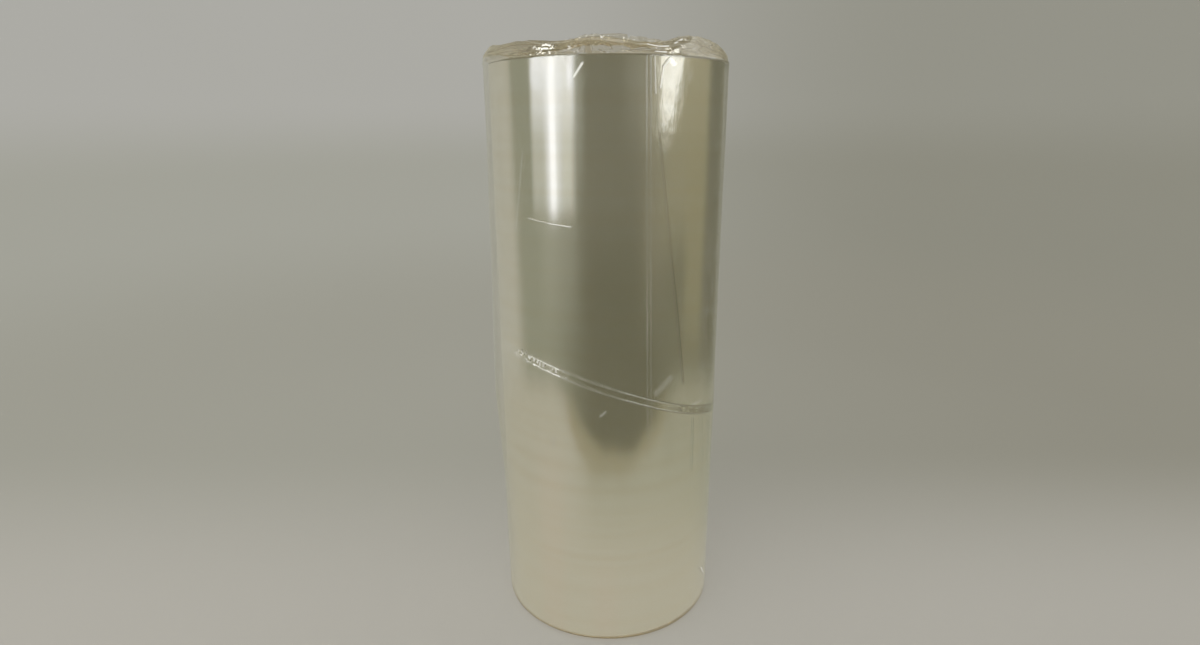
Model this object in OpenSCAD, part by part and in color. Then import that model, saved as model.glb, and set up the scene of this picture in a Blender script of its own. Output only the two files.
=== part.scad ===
// Roll of clear stretch film wound on a cardboard core, standing on its end in a thin clear bag.
// The axis of the roll is Z, the floor is Z = 0 and the side that is seen from the front faces -Y.
// Angles round the roll are in degrees from the front, positive towards +X.

/* [Film roll] */
// Width of the film, which is the height of the wound film
film_w = 500; // [300:10:750]
// Outer diameter of the wound film
roll_d = 200; // [170:5:300]
// Clearance between the core and the first turn
wind_gap = 0.05; // [0.02:0.01:0.2]
// Rounding of the outermost turns at both ends
edge_r = 1.2; // [0.5:0.1:3]
// Bands of turns that can be told apart on each end face
end_bands = 9; // [3:1:16]
// How far the deepest band of turns stands in from its end face
end_step = 0.8; // [0.1:0.1:2]

/* [Core] */
// Bore of the core
core_bore_d = 76.2; // [50:0.1:90]
// Wall of the core
core_wall = 7.5; // [4:0.5:12]
// How far the core stands out of the film at each end
core_proud = 1.5; // [1.5:0.1:6]
// Chamfer of the core's outer edges
core_chamfer = 0.6; // [0.2:0.1:1.5]

/* [Bag] */
// Thickness of the bag's film
bag_t = 0.5; // [0.3:0.05:0.7]
// Clearance between the bag and the wound film
bag_gap = 0.4; // [0.3:0.05:0.6]
// How far the bag stands off on its loose side, at the seam
slack_left = 7; // [0:0.5:10]
// How far the bag stands off on the opposite side, at the rim
slack_right = 2; // [0:0.5:5]
// Height of the soft waves in the bag's film
wave_h = 0.6; // [0.1:0.1:1.5]
// Width of the ring of film under the foot
hem_w = 34; // [15:1:45]

/* [Seam, crease and fold] */
// Height of the seam's middle above the film's lower end
seam_z = 229; // [160:1:280]
// How far the slanting seam rises and falls about its middle
seam_rise = 38; // [0:1:50]
// Angle at which the seam is lowest
seam_low_at = 110; // [-180:5:180]
// Distance between the two beads of the seam
seam_w = 6; // [3:0.5:12]
// Height of the seam's beads
bead_h = 1; // [0.3:0.1:2]
// Angle of the upright crease at the top
crease_at = 17.5; // [-60:0.5:60]
// How far the crease leans round the roll from top to bottom, in degrees
crease_lean = 5; // [0:0.5:12]
// Height of the crease's ridge
crease_h = 1.4; // [0.3:0.1:3]
// Height of the slanting fold's ridge
fold_h = 1.3; // [0:0.1:3]
// Angle of the slanting fold's upper end
fold_top_at = 22.5; // [-60:0.5:60]
// Angle of the slanting fold's lower end
fold_low_at = 41; // [-60:0.5:60]

/* [Crown] */
// Height of the puffed film just inside the rim
puff_h = 8; // [3:0.5:15]
// Height of the standing collar of gathers round the core
collar_h = 19; // [8:0.5:30]
// Clearance between the core and the collar
mouth_gap = 5; // [3:0.5:12]
// Depth of the gathers at the collar
gather_h = 5; // [1:0.5:8]
// Height of the wide billows between the rim and the collar
billow_h = 3.5; // [0:0.5:6]
// How far the collar's gathers fan in and out
ruffle = 2.5; // [0.5:0.25:3]
// Starting number of the crumple's random folds
crumple_seed = 11; // [1:1:99]

/* [Hidden] */

// Sizes that follow from the ones above
roll_r = roll_d / 2;
bore_r = core_bore_d / 2;
core_r = bore_r + core_wall;
core_len = film_w + 2 * core_proud;
wound_r = core_r + wind_gap;
foot_z = core_proud;
head_z = foot_z + film_w;
skin = bag_gap + bag_t;
mouth_r = core_r + mouth_gap;
hem_r = roll_r - hem_w;

// Depth of each band of turns below its end face, from the core outwards
function band_depths(seed) = rands(0, end_step, end_bands, seed);

// Profile of one end face: flat bands of turns, with a small slope from each to the next
function band_points(depths) =
    let (w = (roll_r - edge_r - wound_r) / end_bands, slope = w * 0.08)
    [for (i = [0 : end_bands - 1], side = [0, 1])
        [wound_r + (i + side) * w + (side == 0 ? (i == 0 ? 0 : slope) : 0),
            i == end_bands - 1 ? 0 : depths[i]]];

// Quarter round at the outermost turns, of which the tilt is 0 outwards and 90 to the end
function edge_points(tilts) =
    [for (t = tilts) [roll_r - edge_r + edge_r * cos(t), edge_r - edge_r * sin(t)]];

function foot_side(points) = [for (p = points) [p.x, foot_z + p.y]];
function head_side(points) = [for (p = points) [p.x, head_z - p.y]];
function backwards(list) = [for (i = [len(list) - 1 : -1 : 0]) list[i]];

module core_tube() {
    c = core_chamfer;
    color("burlywood")
        rotate_extrude($fn = 120)
            polygon([
                [bore_r, 0], [core_r - c, 0], [core_r, c],
                [core_r, core_len - c], [core_r - c, core_len], [bore_r, core_len]
            ]);
}

module film_roll() {
    tilts = [75 : -15 : 0];
    color([0.80, 0.79, 0.68])
        rotate_extrude($fn = 180)
            polygon(concat(
                foot_side(concat(band_points(band_depths(3)), edge_points(tilts))),
                head_side(backwards(concat(band_points(band_depths(5)), edge_points(tilts))))
            ));
}

// The bag's film is a grid of columns round the roll and rings from the hem to the mouth.
// The crease is a column of its own, with a narrow column each side of it.
columns = 94;
crease_half = 1.1;
spread = [for (k = [0 : columns - 1]) each
    (k == 0 ? [-crease_half, 0, crease_half] : [k * 360 / columns])];
last_col = len(spread) - 1;
crease_col = 1;

// Random numbers of each column, for its gathers in the crown
gathers = rands(0.35, 1, last_col + 1, crumple_seed);
fans = rands(-1, 1, last_col + 1, crumple_seed + 1);

function within(a) = a > 180 ? a - 360 : (a < -180 ? a + 360 : a);
function height_share(z) = (z - foot_z) / film_w;
function angle_of(col, z) = within(spread[col] + crease_at + crease_lean * (1 - height_share(z)));

// A smooth bump, 1 at distance 0 and 0 beyond its half width
function bump(distance, half) = abs(distance) >= half ? 0 : (1 + cos(180 * distance / half)) / 2;
function blend(a, b, t) = a + (b - a) * t;

// Height of the seam's middle line at an angle
function seam_line(a) = foot_z + seam_z - seam_rise * cos(a - seam_low_at);

// The bag's two slack sides: angle of the middle, and degrees from there to where it lies close
slack_left_at = -92;
slack_left_half = 58;
slack_right_at = 95;
slack_right_half = 60;

// Share of the loose side's slack at a share of the height, least at the foot and most at the seam
function slack_share(h) =
    lookup(h, [[0, 0.02], [0.24, 0.12], [0.42, 1], [0.6, 0.75], [0.8, 0.55], [1, 0.45]]);

// The slanting fold's ends as shares of the height, and its half width in degrees
fold_low = 0.46;
fold_top = 0.93;
fold_half = 4.5;

function slanting_fold(a, h) =
    let (share = (h - fold_low) / (fold_top - fold_low))
    fold_h * bump(a - blend(fold_low_at, fold_top_at, share), fold_half) * bump(share - 0.5, 0.6);

// How far the sleeve stands off the wound film, beyond its clearance
function stand_off(col, z) =
    let (a = angle_of(col, z), h = height_share(z))
    slack_left * slack_share(h) * bump(within(a - slack_left_at), slack_left_half)
    + slack_right * h * bump(within(a - slack_right_at), slack_right_half)
    + wave_h * (1 + sin(3 * a + 260 * h)) * (1 + sin(2 * a - 420 * h + 40)) / 4
    + slanting_fold(a, h)
    + (col == crease_col ? crease_h : 0);

// Shares of the puff's and the collar's heights round the crown
function puff_share(a) =
    lookup(a, [[-180, 0.9], [-130, 1.2], [-85, 0.75], [-45, 0.8], [-22, 0.72], [-8, 1.25],
        [12, 1.15], [20, 0.75], [40, 1.5], [58, 1.3], [85, 0.8], [130, 1.25], [180, 0.9]]);
function collar_share(a) =
    lookup(a, [[-180, 0.85], [-120, 0.7], [-60, 0.62], [-32, 0.9], [0, 1], [32, 0.92],
        [60, 0.6], [110, 0.75], [180, 0.85]]);

// One point of a ring: how far out, how high, and the way from the outer to the inner face
function film_point(r, z, inward) = [r, z, inward];

// Under the foot: flat film with its edge cut unevenly
hem_shares = [0, 0.5];
function hem_ring(share, col) =
    let (edge = hem_r + fans[col] * 3)
    film_point(blend(edge, roll_r - edge_r, share), foot_z - skin, [0, 1]);

// Round the film's rounded edges, where the tilt is 0 outwards and 90 to the end
function round_ring(tilt, z, end, col) =
    let (out = edge_r + skin)
    film_point(
        roll_r - edge_r + out * cos(tilt) + stand_off(col, z) * cos(tilt),
        z + end * (out * sin(tilt) - edge_r),
        [-cos(tilt), -end * sin(tilt)]);

// Up the side, at a share of the way between two heights
function sleeve_ring(low, high, share, raise, col) =
    let (z = blend(low, high, share))
    film_point(roll_r + skin + stand_off(col, z) + raise, z, [-1, 0]);

lower_shares = [0.25, 0.5, 0.75];
upper_shares = [0.12, 0.25, 0.38, 0.51, 0.64, 0.77, 0.9];
// Each ring of the seam: distance from its middle in half widths, and share of the bead's height
seam_rings = [[-2.2, 0], [-1, 1], [0, 0.25], [1, 1], [2.2, 0]];

// Over the end face. Each ring: share of the way to the mouth, of the puff's height and of the
// collar's, share of the gathers, and the way from the outer to the inner face.
crown_rings = [
    [0.02, 0.8, 0, 0, [-0.7, -0.7]],
    [0.13, 1, 0, 0.15, [0, -1]],
    [0.32, 0.55, 0, 0.35, [0, -1]],
    [0.52, 0.15, 0.04, 0.55, [0, -1]],
    [0.72, 0, 0.16, 0.75, [-0.3, -0.95]],
    [0.87, 0, 0.5, 0.9, [-0.8, -0.6]],
    [1, 0, 1, 1, [-0.95, -0.3]]
];
function billow(a, share) =
    billow_h * bump(share - 0.6, 0.55)
        * (2 + sin(7 * a + 200 * share) + sin(11 * a + 70 - 150 * share)) / 4;

function crown_ring(ring, col) =
    let (a = angle_of(col, head_z),
        crest = col % 2 == 0,
        gather = ((crest ? gathers[col] : 0) + 0.3 * (1 + fans[col])) * 0.6,
        out = blend(roll_r + skin + stand_off(col, head_z), mouth_r + skin, ring[0]))
    film_point(
        out + ring[3] * ring[2] * ruffle * (crest ? 1 : -1) * gathers[col],
        head_z + skin + puff_h * puff_share(a) * ring[1] + collar_h * collar_share(a) * ring[2]
            + gather_h * ring[3] * gather + billow(a, ring[0]),
        ring[4]);

// All rings of one column, from the hem to the mouth
function column_points(col) =
    let (low = foot_z + edge_r,
        high = head_z - edge_r,
        middle = seam_line(angle_of(col, foot_z + seam_z)),
        flank = seam_rings[4][0] * seam_w / 2)
    concat(
        [for (share = hem_shares) hem_ring(share, col)],
        [for (tilt = [90, 45, 0]) round_ring(tilt, foot_z, -1, col)],
        [for (share = lower_shares) sleeve_ring(low, middle - flank, share, 0, col)],
        [for (s = seam_rings)
            let (z = middle + s[0] * seam_w / 2)
            sleeve_ring(z, z, 0, bead_h * s[1], col)],
        [for (share = upper_shares) sleeve_ring(middle + flank, high, share, 0, col)],
        [round_ring(0, head_z, 1, col)],
        [for (ring = crown_rings) crown_ring(ring, col)]);

function placed(a, r, z) = [r * sin(a), -r * cos(a), z];

// Both faces of a column as one closed loop: the outer face upwards, the inner face back down
function column_loop(col) =
    let (points = column_points(col))
    concat(
        [for (p = points) placed(angle_of(col, p[1]), p[0], p[1])],
        [for (p = backwards(points))
            placed(angle_of(col, p[1]), p[0] + bag_t * p[2].x, p[1] + bag_t * p[2].y)]);

module over_bag() {
    loops = [for (col = [0 : last_col]) column_loop(col)];
    n = len(loops[0]);
    points = [for (loop = loops) each loop];
    faces = [for (col = [0 : last_col], i = [0 : n - 1])
        let (next_col = (col + 1) % (last_col + 1),
            next_i = (i + 1) % n,
            a = col * n + i, b = next_col * n + i,
            c = next_col * n + next_i, d = col * n + next_i)
        each ((col + i) % 2 == 0 ? [[a, d, c], [a, c, b]] : [[a, d, b], [d, c, b]])];
    color([0.90, 0.90, 0.84], 0.5)
        polyhedron(points, faces, convexity = 12);
}

core_tube();
film_roll();
over_bag();
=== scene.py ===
import math

import bmesh
import bpy
import numpy as np
from mathutils import Matrix, Vector, noise


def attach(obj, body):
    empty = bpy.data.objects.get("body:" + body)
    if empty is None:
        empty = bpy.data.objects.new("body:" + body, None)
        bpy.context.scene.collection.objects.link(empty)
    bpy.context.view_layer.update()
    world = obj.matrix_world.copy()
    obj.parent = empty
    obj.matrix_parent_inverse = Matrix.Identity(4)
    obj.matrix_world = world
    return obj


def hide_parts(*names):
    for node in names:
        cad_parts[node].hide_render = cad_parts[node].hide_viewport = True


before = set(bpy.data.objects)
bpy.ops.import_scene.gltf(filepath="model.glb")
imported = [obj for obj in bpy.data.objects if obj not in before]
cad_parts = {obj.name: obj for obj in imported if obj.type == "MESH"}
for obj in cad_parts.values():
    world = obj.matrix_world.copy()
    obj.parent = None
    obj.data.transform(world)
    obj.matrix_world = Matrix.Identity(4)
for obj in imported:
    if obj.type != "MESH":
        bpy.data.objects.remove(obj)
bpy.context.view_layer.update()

scene = bpy.context.scene
scene.view_settings.view_transform = "Standard"
mm = 0.001
print("stage 1: frame loaded,", len(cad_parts), "CAD nodes")


# Shader maths: a Wire is a socket that can stand in a Python expression

class Wire:
    def __init__(self, tree, socket=None):
        self.tree = tree
        self.socket = socket

    def node(self, kind, settings=(), sockets=(), out=0):
        made = self.tree.nodes.new(kind)
        for name, value in dict(settings).items():
            if name == "stops":
                while len(made.color_ramp.elements) < len(value):
                    made.color_ramp.elements.new(0.5)
                for stop, (place, colour) in zip(made.color_ramp.elements, value):
                    stop.position = place
                    stop.color = colour
            else:
                setattr(made, name, value)
        for name, value in dict(sockets).items():
            if isinstance(value, Wire):
                self.tree.links.new(value.socket, made.inputs[name])
            else:
                made.inputs[name].default_value = value
        return Wire(self.tree, made.outputs[out])

    def part(self, name):  # another outlet of the same node
        return Wire(self.tree, self.socket.node.outputs[name])

    def maths(self, operation, *values):
        return self.node("ShaderNodeMath", {"operation": operation}, enumerate(values))

    def vector(self, operation, *values, out=0):
        return self.node("ShaderNodeVectorMath", {"operation": operation}, enumerate(values), out)

    def __add__(self, other):
        return self.maths("ADD", self, other)

    def __radd__(self, other):
        return self.maths("ADD", other, self)

    def __sub__(self, other):
        return self.maths("SUBTRACT", self, other)

    def __rsub__(self, other):
        return self.maths("SUBTRACT", other, self)

    def __mul__(self, other):
        return self.maths("MULTIPLY", self, other)

    def __rmul__(self, other):
        return self.maths("MULTIPLY", other, self)

    def __truediv__(self, other):
        return self.maths("DIVIDE", self, other)

    def __pow__(self, other):
        return self.maths("POWER", self, other)

    def __abs__(self):
        return self.maths("ABSOLUTE", self)

    def rise(self, low, high):  # smoothly from 0 at low to 1 at high
        return self.node("ShaderNodeMapRange", {"interpolation_type": "SMOOTHSTEP"},
                         {"Value": self, "From Min": low, "From Max": high})

    def band(self, low, high, soft):  # 1 between low and high
        return self.rise(low - soft, low + soft) * self.rise(high + soft, high - soft)

    def atMost(self, other):
        return self.maths("MINIMUM", self, other)

    def atLeast(self, other):
        return self.maths("MAXIMUM", self, other)

    def colours(self, first, second):  # first where this mask is 0, second where it is 1
        return self.node("ShaderNodeMix", {"data_type": "RGBA"},
                         {0: self, 6: first, 7: second}, out=2)


def newMaterial(name):
    made = bpy.data.materials.new(name)
    made.use_nodes = True
    made.node_tree.nodes.clear()
    return made, Wire(made.node_tree)


def finishMaterial(paint, surface):
    end = paint.tree.nodes.new("ShaderNodeOutputMaterial")
    paint.tree.links.new(surface.socket, end.inputs["Surface"])


def objectPlace(paint):  # x, y, z, radius and angle round the roll, in metres and degrees
    place = paint.node("ShaderNodeTexCoord", out="Object")
    x = paint.node("ShaderNodeSeparateXYZ", sockets={0: place})
    y, z = x.part("Y"), x.part("Z")
    radius = (x * x + y * y) ** 0.5
    angle = paint.maths("ARCTAN2", x, y * -1.0) * math.degrees(1)
    return place, z, radius, angle


def noiseAt(paint, place, scale, detail):
    return paint.node("ShaderNodeTexNoise", sockets={"Vector": place, "Scale": scale, "Detail": detail})


def stretched(paint, along, detail):  # noise whose three axes are scaled on their own
    return noiseAt(paint, paint.node("ShaderNodeCombineXYZ", sockets=enumerate(along)), 1.0, detail)


def deselectAll():
    if bpy.context.object and bpy.context.object.mode != "OBJECT":
        bpy.ops.object.mode_set(mode="OBJECT")
    bpy.ops.object.select_all(action="DESELECT")


def editMesh(piece):
    deselectAll()
    piece.select_set(True)
    bpy.context.view_layer.objects.active = piece
    bpy.ops.object.mode_set(mode="EDIT")
    bpy.ops.mesh.select_mode(type="FACE")
    bpy.ops.mesh.select_all(action="DESELECT")
    return bmesh.from_edit_mesh(piece.data)


def objectMode():
    bpy.ops.object.mode_set(mode="OBJECT")


# Camera, at the photograph's place and angle

cameraSizes = {
    "place": (0.0, -0.6226, 0.452),
    "yaw": -0.628,       # degrees towards +X
    "pitch": 16.04,      # degrees down
    "roll": -0.311,
    "lens": 20.56,       # mm, on a sensor 36 mm wide
}


def makeCamera():
    s = cameraSizes
    yaw, pitch, roll = (math.radians(s[k]) for k in ("yaw", "pitch", "roll"))
    ahead = Vector((math.sin(yaw) * math.cos(pitch), math.cos(yaw) * math.cos(pitch), -math.sin(pitch)))
    level = Vector((math.cos(yaw), -math.sin(yaw), 0))
    above = level.cross(ahead)
    right = level * math.cos(roll) + above * math.sin(roll)
    up = above * math.cos(roll) - level * math.sin(roll)
    data = bpy.data.cameras.new("photoCamera")
    data.lens = s["lens"]
    data.sensor_fit = "HORIZONTAL"
    data.sensor_width = 36
    data.clip_start = 0.01
    camera = bpy.data.objects.new("photoCamera", data)
    scene.collection.objects.link(camera)
    turn = Matrix((right, up, -ahead)).transposed().to_4x4()
    camera.matrix_world = Matrix.Translation(s["place"]) @ turn
    scene.camera = camera


makeCamera()


# Floor and backdrop: one seamless bowl, which only the camera sees

stageSizes = {
    "radius": 1.5,
    "height": 2.4,
    "sweep": 0.6,        # radius between floor and wall
    "left": (0.375, 0.372, 0.324, 1),        # the backdrop's middle height
    "right": (0.274, 0.268, 0.220, 1),
    "leftTop": (0.430, 0.424, 0.392, 1),
    "rightTop": (0.308, 0.303, 0.258, 1),
    "farFloor": (0.343, 0.336, 0.286, 1),
    "farFloorRight": (0.288, 0.278, 0.228, 1),
    "nearFloor": (0.425, 0.408, 0.362, 1),
    "paleness": 0.45,    # share of the floor's tone that no shadow darkens
}


def makeStage():
    s = stageSizes
    deselectAll()
    bpy.ops.mesh.primitive_cylinder_add(vertices=96, radius=s["radius"], depth=s["height"],
                                        location=(0, 0, s["height"] / 2))
    bowl = bpy.context.object
    bowl.name = "sweep"
    bpy.ops.object.transform_apply(location=True, rotation=True, scale=True)
    shape = editMesh(bowl)
    for face in shape.faces:
        face.select = face.normal.z > 0.9
    bpy.ops.mesh.delete(type="FACE")
    shape = bmesh.from_edit_mesh(bowl.data)
    bpy.ops.mesh.select_mode(type="EDGE")
    for edge in shape.edges:
        edge.select = all(v.co.z < 1e-6 for v in edge.verts)
    bpy.ops.mesh.bevel(offset=s["sweep"], segments=16, affect="EDGES")
    bpy.ops.mesh.select_all(action="SELECT")
    bpy.ops.mesh.flip_normals()
    objectMode()
    bpy.ops.object.shade_smooth()
    material, paint = newMaterial("palePaper")
    place = paint.node("ShaderNodeTexCoord", out="Object")
    x = paint.node("ShaderNodeSeparateXYZ", sockets={0: place})
    y, z = x.part("Y"), x.part("Z")
    # The backdrop is painted lighter at the top left and darker to the right, and the floor lighter near the
    # roll: painted light and shade.
    across = x.rise(-0.35, 0.85)
    wall = z.rise(0.33, 0.52).colours(across.colours(s["left"], s["right"]),
                                      across.colours(s["leftTop"], s["rightTop"]))
    ground = y.rise(0.3, -0.08).colours(across.colours(s["farFloor"], s["farFloorRight"]), s["nearFloor"])
    tone = z.rise(0.22, 0.01).colours(wall, ground)
    cloud = noiseAt(paint, place, 1.6, 2.0)
    tone = (cloud.rise(0.3, 0.7) * 0.06).colours(tone, s["farFloor"])
    paper = paint.node("ShaderNodeBsdfPrincipled", sockets={
        "Base Color": tone, "Roughness": 0.9, "Specular IOR Level": 0.0})
    # Part of the tone glows: painted light, so that shadows on the floor stay faint.
    paintedGlow = paint.node("ShaderNodeEmission", sockets={"Color": tone, "Strength": 0.96})
    finishMaterial(paint, paint.node("ShaderNodeMixShader", sockets={
        0: s["paleness"], 1: paper, 2: paintedGlow}))
    material.cycles.emission_sampling = "NONE"
    bowl.data.materials.append(material)
    bowl.visible_glossy = False
    bowl.visible_diffuse = False
    bowl.visible_shadow = False


makeStage()


# Studio light: the world gives even light to matt surfaces, and shows glossy ones a room with
# two tall soft boxes in front, a pale backdrop behind and a pale floor.

# Each part of the room: from and to azimuth (0 towards the camera, + towards +X), softness,
# from and to elevation, softness, strength of the patch, colour
roomParts = [
    (-150, 120, 10, -90, 90, 3, 1, (0.134, 0.130, 0.084)),       # dark room behind the camera
    (-62, 62, 20, -90, -9, 5, 1, (0.098, 0.095, 0.050)),         # its lower part
    (-150, -40, 30, -90, 90, 3, 1, (0.236, 0.243, 0.177)),       # wall on the left
    (54, 160, 20, -90, 90, 3, 1, (0.136, 0.134, 0.080)),         # wall on the right
    (50, 117, 14, -9, 90, 4, 0.9, (0.255, 0.240, 0.152)),        # its upper part
    (84, 113, 7, -18, 90, 5, 0.8, (0.240, 0.224, 0.132)),
    (64, 118, 12, 0, 90, 5, 0.8, (0.318, 0.300, 0.200)),
    (34, 60, 10, -14, 90, 6, 0.6, (0.205, 0.194, 0.130)),
    (34, 60, 8, -1, 90, 3, 0.85, (0.310, 0.300, 0.225)),
    (115, 150, 5, -16, 90, 4, 1, (0.138, 0.136, 0.090)),         # dark strip at the right
    (-31, -22, 4, -2.5, 90, 5, 0.6, (0.300, 0.310, 0.265)),      # glow beside the left soft box
    (18, 42, 8, 0, 90, 4, 0.6, (0.226, 0.222, 0.170)),
]
leftEdge = (-103.4, -0.2)        # where the backdrop begins on the left: azimuth and lean
# The soft boxes, with the lean of their far edge at the end
softBoxes = [
    (-66, -28, 10, -15, 50, 5, 0.10, (0.72, 0.73, 0.66), 0),
    (-76, -30, 3, -6.6, 50, 1.7, 0.50, (0.64, 0.65, 0.60), 0),
    (-75, -30, 3.2, 1.5, 50, 3.5, 0.85, (0.94, 0.98, 1.06), 0),
    (-74, -66, 2, 4, 50, 1.5, 0.6, (1.00, 1.04, 1.16), 0),
    (-60, -43, 4, -6.7, 50, 1.4, 0.5, (0.98, 1.01, 1.06), 0),
    (-56, -49, 2.2, -6.9, 50, 0.9, 0.85, (1.24, 1.28, 1.38), 0),
    (-42, -33, 2.2, -6.4, 50, 1.4, 0.32, (0.86, 0.87, 0.80), 0),
    (-36.5, -32, 1.2, 3, 50, 1.5, 0.75, (1.15, 1.19, 1.34), 0),
    (45, 69, 6, -1.0, 46, 2.0, 0.55, (0.72, 0.72, 0.64), 3),
    (52, 63, 3.0, 0.3, 46, 1.2, 0.90, (1.10, 1.12, 1.10), 2.8),
    (-73, -31, 2.5, 13, 50, 2.5, 1, (5.0, 5.1, 5.0), 0),         # the boxes' bright upper parts, which
    (46, 77, 3, 13, 46, 2.5, 1, (5.0, 5.1, 5.0), 0),             # only folds and edges reflect
]
lightSizes = {
    "evenLight": 0.88,
    "ceiling": (0.08, 0.078, 0.066, 1),
    "overhead": (1.6, 1.6, 1.52, 1),
    "backdrop": (0.410, 0.405, 0.345, 1),
    "floorEdge": (0.262, 0.236, 0.138, 1),     # the floor's reflection, by distance and side
    "floorSide": (0.235, 0.228, 0.158, 1),
    "floorFar": (0.326, 0.326, 0.243, 1),
    "floorFarLeft": (0.402, 0.390, 0.316, 1),
    "floorNear": (0.437, 0.420, 0.344, 1),
    "floorPink": (0.452, 0.414, 0.338, 1),
    "floorEnd": -27.4,                         # elevation at which the floor ends, in the middle
    "lampPlace": (-0.75, -0.85, 1.35),
    "lampSize": 1.5,
    "lampPower": 8,
}


def solid(colour):
    return (*colour, 1)


def makeWorld():
    s = lightSizes
    world = bpy.data.worlds.new("studio")
    scene.world = world
    world.use_nodes = True
    world.node_tree.nodes.clear()
    world.cycles.sampling_method = "NONE"
    sky = Wire(world.node_tree)
    way = sky.node("ShaderNodeTexCoord", out="Generated")
    x = sky.node("ShaderNodeSeparateXYZ", sockets={0: way})
    y, z = x.part("Y"), x.part("Z")
    around = sky.maths("ARCTAN2", x, y * -1.0) * math.degrees(1)
    height = sky.maths("ARCSINE", z) * math.degrees(1)
    room = around.rise(140, 175).colours((0.3, 0.29, 0.235, 1), (0.40, 0.39, 0.33, 1))
    for west, east, soft, low, high, softUp, share, colour in roomParts:
        mask = around.band(west, east, soft) * height.band(low, high, softUp) * share
        room = mask.colours(room, solid(colour))
    edge, lean = leftEdge
    pastEdge = around - height * lean - edge
    backdrop = (pastEdge / (6.0 - height * 0.35)).rise(1.0, -1.0)     # softer lower down
    room = backdrop.colours(room, s["backdrop"])
    room = height.rise(20, 42).colours(room, s["ceiling"])
    ragged = noiseAt(sky, way, 6.0, 2.0)
    sideways = abs(around - 12.5)
    right = around.rise(12, 42)
    floorEnd = s["floorEnd"] + 5.8 * sideways.rise(14, 76) + ragged * 1.6 + right * 0.5
    floorTone = around.rise(-6, -45).colours(s["floorFar"], s["floorFarLeft"])
    floorTone = height.rise(-26, -38).colours(floorTone, s["floorNear"])
    below = floorEnd - height
    outer = s["floorEnd"] - 1.9 + 5.8 * (sideways - 5.0).rise(18, 72) + ragged * 1.6 + right * 1.3
    fringe = (height - outer).rise(-0.9, 0.9) * around.band(-42, 66, 10) * (0.5 + ragged * 0.7)
    floorTone = fringe.colours(floorTone, s["floorEdge"])
    floorTone = (below.rise(8, 1) * around.rise(54, 70) * 0.4).colours(floorTone, s["floorSide"])
    pink = around.band(-80, -50, 8) + around.band(-16, 10, 12) * height.rise(-34, -38)
    floorTone = (pink * 0.6 * height.rise(-24, -30)).colours(floorTone, s["floorPink"])
    blur = 0.45 + sideways.rise(22, 60) * 1.6
    room = (below / blur).rise(-1.0, 1.0).colours(room, floorTone)
    for west, east, soft, low, high, softUp, share, colour, lean in softBoxes:
        mask = height.band(low, high, softUp) * share
        if lean:
            bent = around + (ragged - 0.5) * 16.0
            mask = mask * bent.rise(west - soft, west + soft) * (
                bent - height * lean).rise(east + soft, east - soft)
        else:
            mask = mask * around.band(west, east, soft)
        room = mask.colours(room, solid(colour))
    room = height.rise(66, 80).colours(room, s["overhead"])
    even = (s["evenLight"],) * 3 + (1,)
    light = sky.node("ShaderNodeLightPath")
    shown = light.part("Is Glossy Ray").colours(even, room)
    back = sky.node("ShaderNodeBackground", sockets={"Color": shown, "Strength": 1.0})
    end = sky.tree.nodes.new("ShaderNodeOutputWorld")
    sky.tree.links.new(back.socket, end.inputs["Surface"])


def makeLamp():
    s = lightSizes
    data = bpy.data.lights.new("softLamp", "AREA")
    data.size = s["lampSize"]
    data.energy = s["lampPower"]
    lamp = bpy.data.objects.new("softLamp", data)
    scene.collection.objects.link(lamp)
    lamp.location = s["lampPlace"]
    lamp.rotation_euler = (Vector((0, 0, 0.3)) - lamp.location).to_track_quat("-Z", "Y").to_euler()
    lamp.visible_glossy = False
    lamp.visible_camera = False


makeWorld()
makeLamp()
scene.cycles.transparent_max_bounces = 32
print("stage 2: camera, floor and light made")


# Wound film: the roll itself, with its turns in bands on both ends

rollSizes = {
    "radius": 100 * mm,
    "width": 500 * mm,
    "foot": 1.5 * mm,      # height of its lower end, as the core stands out
    "bore": 45.65 * mm,
    "edge": 1.2 * mm,      # rounding of the outermost turns
    "sides": 256,
    "bands": 26,
    "bandStep": 0.35 * mm,
    "gaugeRings": 72,
    "gaugeDepth": 0.035 * mm,
}
middle = rollSizes["foot"] + rollSizes["width"] / 2     # height half way up the roll


def insetEnd(shape, up, steps):
    s = rollSizes
    flat = s["radius"] - s["edge"] - s["bore"]
    for face in shape.faces:
        face.select = face.normal.z * up > 0.9 and len(face.verts) > 8
    width = flat / s["bands"]
    level = 0.0
    for k in range(s["bands"]):
        deeper = 0.0 if k == s["bands"] - 1 else steps[k]
        bpy.ops.mesh.inset(thickness=width * 0.9, depth=0, use_even_offset=True)
        bpy.ops.mesh.inset(thickness=width * 0.1, depth=level - deeper, use_even_offset=True)
        level = deeper


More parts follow.
